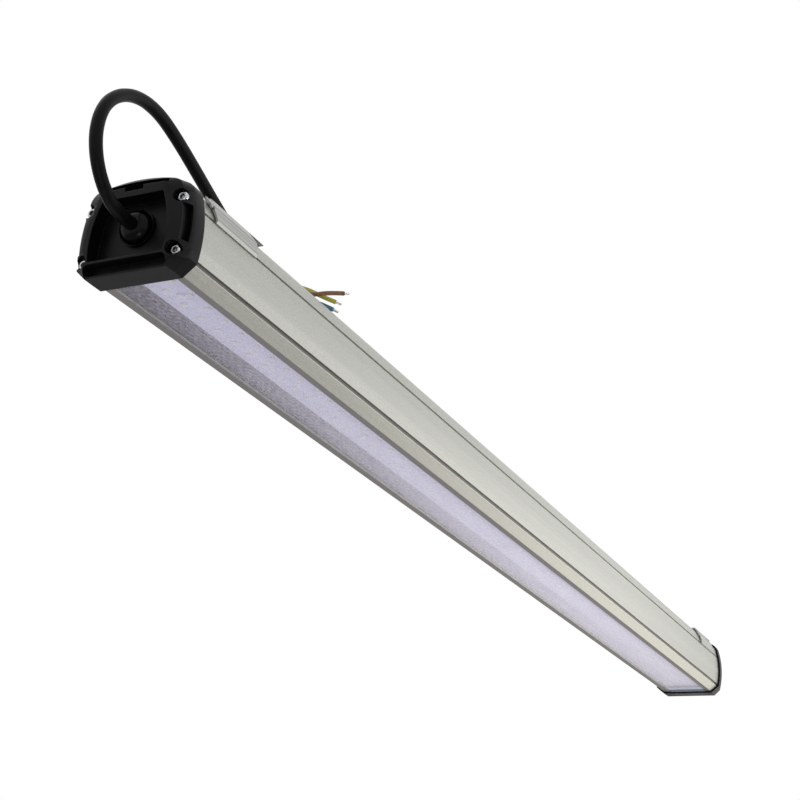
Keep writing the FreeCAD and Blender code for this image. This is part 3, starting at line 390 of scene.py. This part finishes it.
def smooth_skin(node, name, rounding):
    skin = bpy.data.objects.new(name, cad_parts[node].data.copy())
    bpy.context.scene.collection.objects.link(skin)
    bpy.ops.object.select_all(action="DESELECT")
    skin.select_set(True)
    bpy.context.view_layer.objects.active = skin
    bpy.ops.object.mode_set(mode="EDIT")
    bpy.ops.mesh.select_all(action="SELECT")
    bpy.ops.mesh.remove_doubles(threshold=SAME_CORNER)
    if rounding:
        bpy.ops.mesh.dissolve_limited(angle_limit=FLAT_ANGLE)
    bpy.ops.object.mode_set(mode="OBJECT")
    if rounding:
        edges = skin.modifiers.new("rounded_edges", "BEVEL")
        edges.width = rounding
        edges.segments = ROUNDING_STEPS
        edges.limit_method = "ANGLE"
        edges.angle_limit = ROUNDED_ANGLE
        bpy.ops.object.modifier_apply(modifier=edges.name)
    bpy.ops.object.shade_smooth_by_angle(angle=SMOOTH_ANGLE)
    steady = skin.modifiers.new("steady_normals", "WEIGHTED_NORMAL")
    steady.keep_sharp = True
    steady.weight = LARGE_FACES_LEAD
    bpy.ops.object.modifier_apply(modifier=steady.name)
    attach(skin, "root")
    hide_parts(node)
    return skin


skins = {}
for node, name in SKINS.items():
    skins[node] = smooth_skin(node, name, EDGE_ROUNDING.get(node, 0.0))
    print(name, "has", len(skins[node].data.polygons), "faces")

# %% [markdown]
# ## Studio light
#
# The photograph is a product shot on pure white with soft light from all round. A world that is white to the
# camera, to reflections and through clear things, and dimmer as a lamp, gives that with few lamps. A large
# soft lamp stands off the long side, nearer its far end, and a low one with a narrower beam brightens its
# middle. A cool one below lights the boards behind the cover, and a warm one past the far end glances along
# the underside. A small one near the camera puts a soft spot on the domed nut, and a large one behind and
# above lights the back.

# %% Make the white surround
SEEN_COLOUR, SEEN_STRENGTH = (1.0, 1.0, 1.0, 1.0), 1.0
LIT_COLOUR, LIT_STRENGTH = (0.97, 0.98, 1.0, 1.0), 0.55


def combine(tree, operation, *values):
    step = tree.nodes.new("ShaderNodeMath")
    step.operation = operation
    for socket, value in zip(step.inputs, values):
        if isinstance(value, float):
            socket.default_value = value
        else:
            tree.links.new(value, socket)
    return step.outputs[0]


def add_backdrop(tree, colour, strength):
    backdrop = tree.nodes.new("ShaderNodeBackground")
    backdrop.inputs["Color"].default_value = colour
    backdrop.inputs["Strength"].default_value = strength
    return backdrop.outputs[0]


world = bpy.data.worlds.new("white_surround")
bpy.context.scene.world = world
world.use_nodes = True
sky = world.node_tree
sky.nodes.clear()
rays = sky.nodes.new("ShaderNodeLightPath").outputs
blend = sky.nodes.new("ShaderNodeMixShader")
result = sky.nodes.new("ShaderNodeOutputWorld")
seen_or_mirrored = combine(sky, "MAXIMUM", rays["Is Camera Ray"], rays["Is Glossy Ray"])
any_clear = combine(sky, "MAXIMUM", seen_or_mirrored, rays["Is Transmission Ray"])
sky.links.new(any_clear, blend.inputs["Fac"])
sky.links.new(add_backdrop(sky, LIT_COLOUR, LIT_STRENGTH), blend.inputs[1])
sky.links.new(add_backdrop(sky, SEEN_COLOUR, SEEN_STRENGTH), blend.inputs[2])
sky.links.new(blend.outputs[0], result.inputs["Surface"])
bpy.context.scene.view_settings.view_transform = "Standard"
print("world nodes:", len(sky.nodes))

# %% Hang the lamps
WARM = (1.0, 0.92, 0.80)
PLAIN = (1.0, 0.99, 0.96)
COOL = (0.93, 0.94, 1.0)


def hang_softbox(name, spot, aim, size, power, colour, beam=pi):
    glow = bpy.data.lights.new(name, "AREA")
    glow.shape = "RECTANGLE"
    glow.size, glow.size_y = size
    glow.energy = power
    glow.color = colour
    glow.spread = beam
    softbox = bpy.data.objects.new(name, glow)
    bpy.context.scene.collection.objects.link(softbox)
    softbox.location = spot
    softbox.rotation_euler = (Vector(aim) - Vector(spot)).to_track_quat("-Z", "Y").to_euler()


hang_softbox("side_softbox", spot=(1.3, -1.6, 0.2), aim=(0.4, 0.0, 0.03), size=(1.6, 1.2), power=5.0,
             colour=PLAIN)
hang_softbox("under_softbox", spot=(-0.1, 0.25, -1.0), aim=(-0.1, 0.0, 0.0), size=(1.4, 0.8), power=3.1,
             colour=COOL)
hang_softbox("far_softbox", spot=(1.9, -0.5, -0.6), aim=(0.4, 0.0, 0.0), size=(1.2, 0.8), power=4.0,
             colour=WARM)
hang_softbox("low_softbox", spot=(0.3, -1.05, -0.40), aim=(0.12, 0.0, 0.02), size=(0.4, 0.4), power=1.2,
             colour=PLAIN, beam=radians(58))
hang_softbox("front_softbox", spot=(-1.5, -0.5, -0.9), aim=(-0.5, 0.0, 0.02), size=(0.24, 0.24), power=2.0,
             colour=COOL)
hang_softbox("back_softbox", spot=(-0.4, 1.0, 1.6), aim=(0.0, 0.0, 0.05), size=(1.6, 1.2), power=4.0,
             colour=PLAIN)
print("softboxes:", [light.name for light in bpy.data.lights])

# %% [markdown]
# ## The floor
#
# The light hangs above the camera, so the floor lies well below both. It is a pale plane that only shows in
# the views from above, and it sends soft light back up.

# %% Lay the floor
FLOOR_SIZE = 14.0
FLOOR_HEIGHT = -1.3

bpy.ops.object.select_all(action="DESELECT")
bpy.ops.mesh.primitive_plane_add(size=FLOOR_SIZE, location=(0.0, 0.0, FLOOR_HEIGHT))
floor = bpy.context.active_object
floor.name = "studio_floor"
print("floor at", floor.location.z)

# %% [markdown]
# ## How a finish is built
#
# No real surface is one flat colour. Every finish here starts as a principled shader and gets up to three
# layers from noise patterns: tones in its colour, patches of more and less gloss, and a fine relief. The
# patterns lie on Object coordinates, so a piece keeps its own grain, and stretching one along the light draws
# it out into lines. The relief can also round sharp edges by a fraction of a millimetre in the shading, so
# that they catch the light. Most finishes take all their layers from one pattern, and `dress` lays those.

# %% Helpers for the layers
GLOSS_SPAN = (0.3, 0.7)
EDGE_SAMPLES = 6


def start_finish(name, roughness, metallic=0.0, specular=0.5):
    finish = bpy.data.materials.new(name)
    finish.use_nodes = True
    surface = surface_of(finish)
    surface["Roughness"].default_value = roughness
    surface["Metallic"].default_value = metallic
    surface["Specular IOR Level"].default_value = specular
    return finish


def surface_of(finish):
    return finish.node_tree.nodes["Principled BSDF"].inputs


def even(scale):
    return (scale, scale, scale)


def add_pattern(finish, stretch, detail=4.0):
    tree = finish.node_tree
    place = tree.nodes.new("ShaderNodeTexCoord")
    scale = tree.nodes.new("ShaderNodeMapping")
    scale.inputs["Scale"].default_value = stretch
    noise = tree.nodes.new("ShaderNodeTexNoise")
    noise.inputs["Scale"].default_value = 1.0
    noise.inputs["Detail"].default_value = detail
    tree.links.new(place.outputs["Object"], scale.inputs["Vector"])
    tree.links.new(scale.outputs["Vector"], noise.inputs["Vector"])
    return noise.outputs["Fac"]


def spread_out(tree, value, given, wanted):
    spread = tree.nodes.new("ShaderNodeMapRange")
    for end, number in zip(("From Min", "From Max", "To Min", "To Max"), (*given, *wanted)):
        spread.inputs[end].default_value = number
    tree.links.new(value, spread.inputs["Value"])
    return spread.outputs["Result"]


def add_tones(finish, pattern, dark, light, low=0.35, high=0.65):
    tree = finish.node_tree
    ramp = tree.nodes.new("ShaderNodeValToRGB")
    ramp.color_ramp.elements[0].position = low
    ramp.color_ramp.elements[0].color = (*dark, 1.0)
    ramp.color_ramp.elements[1].position = high
    ramp.color_ramp.elements[1].color = (*light, 1.0)
    tree.links.new(pattern, ramp.inputs["Fac"])
    tree.links.new(ramp.outputs["Color"], surface_of(finish)["Base Color"])
    return ramp.outputs["Color"]


def add_gloss(finish, pattern, smooth, rough):
    gloss = spread_out(finish.node_tree, pattern, GLOSS_SPAN, (smooth, rough))
    finish.node_tree.links.new(gloss, surface_of(finish)["Roughness"])


def add_relief(finish, pattern, height, edge=0.0):
    tree = finish.node_tree
    bump = tree.nodes.new("ShaderNodeBump")
    bump.inputs["Strength"].default_value = 1.0
    bump.inputs["Distance"].default_value = height
    tree.links.new(pattern, bump.inputs["Height"])
    if edge:
        rounding = tree.nodes.new("ShaderNodeBevel")
        rounding.samples = EDGE_SAMPLES
        rounding.inputs["Radius"].default_value = edge
        tree.links.new(rounding.outputs["Normal"], bump.inputs["Normal"])
    tree.links.new(bump.outputs["Normal"], surface_of(finish)["Normal"])


def dress(finish, stretch, dark, light, gloss=None, height=0.0, edge=0.0, detail=4.0):
    pattern = add_pattern(finish, stretch, detail)
    add_tones(finish, pattern, dark, light)
    if gloss:
        add_gloss(finish, pattern, *gloss)
    if height:
        add_relief(finish, pattern, height, edge)


def wear(finish, *wearers):
    for wearer in wearers:
        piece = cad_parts[wearer] if isinstance(wearer, str) else wearer
        piece.data.materials.clear()
        piece.data.materials.append(finish)


print("finish layers: tones, gloss, relief")

# %% [markdown]
# ## Satin aluminium
#
# The extrusion is anodised: an even, slightly warm grey with a fine sparkle, and faint lines along its length
# where the die drew it. In four places light or shade is painted into its colour: painted shade on the floor
# of the lower groove, on the narrow feet beside the cover and on the bare deck behind the cover, and a
# painted highlight along the sharp lip under the groove. Their places are known, so comparisons on the Object
# coordinates mark them, with no hand painting.

# %% Finish the extrusion
DRAWN_SHARE = 0.25

satin = start_finish("satin_aluminium", 0.42, metallic=0.6)
sparkle = add_pattern(satin, even(1400.0), detail=2.0)
drawn = add_pattern(satin, (3.0, 620.0, 620.0), detail=3.0)
tree = satin.node_tree
grain = tree.nodes.new("ShaderNodeMix")
grain.inputs["Factor"].default_value = DRAWN_SHARE
tree.links.new(sparkle, grain.inputs["A"])
tree.links.new(drawn, grain.inputs["B"])
tones = add_tones(satin, grain.outputs["Result"], dark=(0.39, 0.395, 0.362), light=(0.53, 0.535, 0.497))
add_gloss(satin, drawn, smooth=0.38, rough=0.47)
add_relief(satin, grain.outputs["Result"], height=0.000012, edge=0.00025)
print("satin aluminium has", len(tree.nodes), "nodes")

# %% Paint shade into the groove, the feet and the deck, and a highlight onto the lip
# Each mark has its span of heights, its span of distances from the middle, and its colour.
PAINTED_LIGHT_MARKS = {
    # painted shade on the floor of the lower groove, which lies in shadow
    "painted_shade_groove": ((0.0069, 0.0092), (0.0286, 0.0304), (0.20, 0.195, 0.185)),
    # painted shade on the narrow feet beside the cover
    "painted_shade_feet": ((0.0, 0.0021), (0.0180, 0.0236), (0.22, 0.207, 0.207)),
    # painted highlight along the sharp lip under the groove
    "painted_highlight_lip": ((0.0066, 0.00688), (0.0288, 0.0301), (0.70, 0.68, 0.63)),
    # painted shade on the deck beside the boards, behind the cover
    "shaded_deck": ((0.0100, 0.0130), (0.0, 0.0285), (0.22, 0.20, 0.22)),
}


def split_place(tree, coordinates="Object"):
    where = tree.nodes.new("ShaderNodeTexCoord")
    split = tree.nodes.new("ShaderNodeSeparateXYZ")
    tree.links.new(where.outputs[coordinates], split.inputs["Vector"])
    return split.outputs


def between(tree, value, low, high):
    above = combine(tree, "GREATER_THAN", value, low)
    below = combine(tree, "LESS_THAN", value, high)
    return combine(tree, "MULTIPLY", above, below)


def tint_where(tree, mask, tones, colour):
    tinted = tree.nodes.new("ShaderNodeMix")
    tinted.data_type = "RGBA"
    tinted.inputs["B"].default_value = (*colour, 1.0)
    tree.links.new(mask, tinted.inputs["Factor"])
    tree.links.new(tones, tinted.inputs["A"])
    return tinted.outputs["Result"]


place = split_place(tree)
off_middle = combine(tree, "ABSOLUTE", place["Y"])
# Here the painted shade and the painted highlight go into the extrusion's colour.
for heights, sides, colour in PAINTED_LIGHT_MARKS.values():
    at_height = between(tree, place["Z"], *heights)
    at_side = between(tree, off_middle, *sides)
    tones = tint_where(tree, combine(tree, "MULTIPLY", at_height, at_side), tones, colour)
tree.links.new(tones, surface_of(satin)["Base Color"])
wear(satin, "housing", skins["housing"])
print("marked", list(PAINTED_LIGHT_MARKS))

# %% [markdown]
# ## Clear plastic
#
# The cover is an extruded clear strip with a cool tint. Seen steeply it almost disappears, and seen along its
# length it turns milky. Real refraction would be slow in so thin a strip, so the shader's alpha is low where
# the strip faces the eye and rises towards grazing angles. A fine pattern adds a little frost. At the far
# end, next to the cap, an opaque pale band is a painted highlight, the light caught by the cover's cut end.

# %% Finish the cover
SLANT_SPAN, MILK_SPAN = (0.57, 0.83), (0.06, 0.75)
FROST_PATTERN_SPAN, FROST_SPAN = (0.35, 0.65), (0.0, 0.2)
END_HIGHLIGHT_SPAN = (0.4745, 0.5)
END_HIGHLIGHT_COLOUR = (0.82, 0.87, 1.0)

clear = start_finish("clear_strip", 0.2)
streaks = add_pattern(clear, (25.0, 420.0, 40.0), detail=3.0)
tones = add_tones(clear, streaks, dark=(0.76, 0.73, 0.88), light=(0.84, 0.82, 0.95))
add_relief(clear, streaks, height=0.00002)
tree = clear.node_tree
slant = tree.nodes.new("ShaderNodeLayerWeight")
slant.inputs["Blend"].default_value = 0.5
milk = spread_out(tree, slant.outputs["Facing"], SLANT_SPAN, MILK_SPAN)
frosting = add_pattern(clear, (330.0, 620.0, 40.0), detail=2.0)
frost = spread_out(tree, frosting, FROST_PATTERN_SPAN, FROST_SPAN)
cloudy = combine(tree, "ADD", milk, frost)
# painted highlight: an opaque pale band at the cover's far end, where its cut end catches the light
painted_end_highlight = between(tree, split_place(tree)["X"], *END_HIGHLIGHT_SPAN)
tree.links.new(tint_where(tree, painted_end_highlight, tones, END_HIGHLIGHT_COLOUR), surface_of(clear)["Base Color"])
tree.links.new(combine(tree, "MAXIMUM", cloudy, painted_end_highlight), surface_of(clear)["Alpha"])
wear(clear, "clear_cover")
print("clear strip has", len(tree.nodes), "nodes")

# %% [markdown]
# ## Black moulding, rubber and the gland
#
# The caps are moulded in black plastic with a fine grain, the domed nut is the same stuff with more gloss,
# and the cord's jacket is smooth rubber. Black shows little colour, so gloss does the work: a low specular
# level keeps the white studio out of the flat faces, and the rounded edges draw it in thin lines.

# %% Finish the black pieces
moulded = start_finish("moulded_black", 0.38, specular=0.13)
pits = add_pattern(moulded, even(2600.0), detail=2.0)
clouds = add_pattern(moulded, even(60.0))
add_tones(moulded, clouds, dark=(0.002, 0.002, 0.0024), light=(0.0048, 0.0048, 0.0053))
add_gloss(moulded, clouds, smooth=0.32, rough=0.46)
add_relief(moulded, pits, height=0.000008, edge=0.00045)
wear(moulded, "cable_end_cap", "blank_end_cap", skins["cable_end_cap"], skins["blank_end_cap"])

gloss_black = start_finish("glossy_black", 0.22, specular=0.1)
dress(gloss_black, even(180.0), dark=(0.0008, 0.0008, 0.001), light=(0.002, 0.002, 0.0024),
      gloss=(0.18, 0.26), height=0.00001, edge=0.0003)
wear(gloss_black, "gland_dome", "gland_body", "gland_lock_nut", skins["gland_dome"], skins["gland_body"])

rubber = start_finish("rubber_jacket", 0.42, specular=0.1)
dress(rubber, (140.0, 500.0, 500.0), dark=(0.0015, 0.0015, 0.0018), light=(0.004, 0.004, 0.0046),
      gloss=(0.36, 0.5), height=0.000008)
wear(rubber, "cord", "cord_inner", jacket)
print("black finishes:", [finish.name for finish in (moulded, gloss_black, rubber)])

# %% [markdown]
# ## Steel
#
# The clips are folded from rolled sheet, whose fine lines run along the light. The screws are zinc plated:
# brighter and smoother, with a little cloudiness. Their drives get painted shade: a dark finish stands for
# the shadow inside each socket. The strands are tinned, a warmer grey.

# %% Finish the steel pieces
sheet_steel = start_finish("rolled_sheet_steel", 0.46, metallic=0.7)
dress(sheet_steel, (5.0, 800.0, 800.0), dark=(0.32, 0.325, 0.31), light=(0.52, 0.525, 0.50),
      gloss=(0.4, 0.54), height=0.00001, edge=0.0002, detail=3.0)
wear(sheet_steel, "cable_end_bracket", "blank_end_bracket", skins["cable_end_bracket"],
     skins["blank_end_bracket"])

zinc = start_finish("zinc_plate", 0.24, metallic=1.0)
dress(zinc, even(900.0), dark=(0.40, 0.42, 0.43), light=(0.62, 0.64, 0.65), gloss=(0.18, 0.32),
      height=0.000006, detail=2.0)
wear(zinc, "cable_end_screws", "blank_end_screws", "terminal_screw", "earth_screw", "driver_screws",
     *cap_screws.values())

# painted shade: a dark finish for the shadow on the walls of each screw's drive
drive_painted_shade = start_finish("drive_painted_shade", 0.5, metallic=0.6)
dress(drive_painted_shade, even(1500.0), dark=(0.07, 0.075, 0.075), light=(0.15, 0.16, 0.16), detail=2.0)


def paint_faces(piece, finish, faces, faces_per_copy):
    piece.data.materials.append(finish)
    painted = [face for face in piece.data.polygons if face.index % faces_per_copy in faces]
    for face in painted:
        face.material_index = 1
    return len(painted)


# the drive's walls of every screw head get the painted shade
for heads in cap_screws.values():
    paint_faces(heads, drive_painted_shade, drive_walls, screw_faces)

tinned = start_finish("tinned_copper", 0.36, metallic=1.0)
dress(tinned, even(1200.0), dark=(0.74, 0.69, 0.67), light=(0.88, 0.86, 0.85), gloss=(0.28, 0.42), detail=2.0)
wear(tinned, "wire_ends", "earth_tag", *strands)
print("steel finishes:", [finish.name for finish in (sheet_steel, zinc, drive_painted_shade, tinned)])

# %% [markdown]
# ## The cores
#
# Each core has smooth coloured insulation. The earth core is yellow with a green stripe on either side of it.
# The stripe has to follow the core round its bends, so it reads the curve's own UV map, which runs round the
# core in one direction and along it in the other.

# %% Finish the cores
CORE_COLOURS = {
    "brown": ((0.14, 0.065, 0.026), (0.21, 0.105, 0.045)),
    "blue": ((0.07, 0.19, 0.32), (0.11, 0.27, 0.42)),
    "red": ((0.42, 0.02, 0.02), (0.60, 0.04, 0.035)),
    "black": ((0.006, 0.006, 0.007), (0.014, 0.014, 0.015)),
}
WEARERS = {
    "brown": ("wire_brown", "inner_core_brown", "supply_lead_brown", cores["wire_brown"]),
    "blue": ("wire_blue", "inner_core_blue", "supply_lead_blue", cores["wire_blue"]),
    "red": ("lamp_lead_red",),
    "black": ("lamp_lead_black",),
}
CORE_ROUGHNESS = 0.4
CORE_GLOSS = (0.32, 0.46)
CORE_PATTERN = even(300.0)

for colour, (dark, light) in CORE_COLOURS.items():
    insulation = start_finish(colour + "_insulation", CORE_ROUGHNESS)
    dress(insulation, CORE_PATTERN, dark, light, gloss=CORE_GLOSS, height=0.00001)
    wear(insulation, *WEARERS[colour])
print("plain insulation in", list(CORE_COLOURS))

# %% Stripe the earth core
STRIPE_YELLOW = (0.50, 0.45, 0.06, 1.0)
STRIPE_GREEN = (0.14, 0.25, 0.03, 1.0)
FIRST_GREEN = 0.2
LATER_BANDS = ((0.34, STRIPE_YELLOW), (0.7, STRIPE_GREEN), (0.84, STRIPE_YELLOW))

striped = start_finish("striped_insulation", CORE_ROUGHNESS)
add_gloss(striped, add_pattern(striped, CORE_PATTERN), *CORE_GLOSS)
tree = striped.node_tree
stripe = tree.nodes.new("ShaderNodeValToRGB")
bands = stripe.color_ramp
bands.interpolation = "CONSTANT"
bands.elements[0].color = STRIPE_YELLOW
bands.elements[1].position = FIRST_GREEN
bands.elements[1].color = STRIPE_GREEN
for start, colour in LATER_BANDS:
    bands.elements.new(start).color = colour
tree.links.new(split_place(tree, "UV")["Y"], stripe.inputs["Fac"])
tree.links.new(stripe.outputs["Color"], surface_of(striped)["Base Color"])
wear(striped, "wire_green_yellow", cores["wire_green_yellow"])

inner_earth = start_finish("earth_insulation", CORE_ROUGHNESS)
ripple = add_pattern(inner_earth, (40.0, 900.0, 900.0))
add_tones(inner_earth, ripple, dark=(0.07, 0.17, 0.02), light=(0.40, 0.37, 0.045), low=0.48, high=0.52)
wear(inner_earth, "earth_core")
print("earth core has", len(bands.elements), "bands")

# %% [markdown]
# ## Boards and lamps
#
# The lamp boards are coated white, which looks faintly blue through the cover. Each lamp's body is white
# plastic, and its window is filled with yellow phosphor. The windows were marked by their face number when
# the lamp was shaped, and the copies keep the same order, so the second material goes on those faces.

# %% Finish the boards and the lamps
mask = start_finish("white_mask", 0.45)
dress(mask, even(220.0), dark=(0.75, 0.75, 0.94), light=(0.82, 0.82, 1.0), gloss=(0.4, 0.55), height=0.00001)
wear(mask, "cable_side_board", "blank_side_board")

lamp_body = start_finish("lamp_body", 0.4)
dress(lamp_body, even(700.0), dark=(0.92, 0.92, 0.97), light=(0.96, 0.96, 1.0))
wear(lamp_body, "cable_side_lamps", "blank_side_lamps", *lamp_rows.values())

phosphor = start_finish("phosphor", 0.5)
dress(phosphor, even(2500.0), dark=(0.86, 0.78, 0.46), light=(0.92, 0.86, 0.58), height=0.00001)
windows = sum(paint_faces(rows, phosphor, window, lamp_faces) for rows in lamp_rows.values())
print("yellow windows:", windows)

# %% [markdown]
# ## Inside and hidden
#
# The seals, the driver, the terminal block and the plug between the boards hardly show, but the model is
# looked at from all sides and taken apart, so they get their own plain finishes too: pale silicone, and
# moulded plastics in shades of white. The boards' screws are painted, and the studio floor is a pale grey.

# %% Finish the inner pieces
INNER = {
    "pale_silicone": ((0.70, 0.73, 0.82), (0.80, 0.82, 0.89), 0.6,
                      ("cable_end_gasket", "blank_end_gasket", "gland_seal")),
    "driver_white": ((0.72, 0.72, 0.70), (0.80, 0.80, 0.78), 0.5, ("driver_case",)),
    "terminal_cream": ((0.68, 0.67, 0.62), (0.76, 0.75, 0.70), 0.48, ("terminal_block",)),
    "link_white": ((0.80, 0.80, 0.86), (0.87, 0.87, 0.93), 0.45, ("board_link",)),
    "painted_screw": ((0.83, 0.83, 0.93), (0.90, 0.90, 0.98), 0.45, ("board_screws",)),
}
GLOSS_SWING = 0.06

for name, (dark, light, roughness, nodes) in INNER.items():
    plastic = start_finish(name, roughness)
    dress(plastic, even(350.0), dark, light, gloss=(roughness - GLOSS_SWING, roughness + GLOSS_SWING),
          height=0.00001)
    wear(plastic, *nodes)

pale_floor = start_finish("pale_floor", 0.7)
dress(pale_floor, even(6.0), dark=(0.72, 0.70, 0.67), light=(0.76, 0.74, 0.71))
wear(pale_floor, floor)
bare = [node for node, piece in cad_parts.items() if not piece.data.materials]
print("nodes without a finish:", bare)
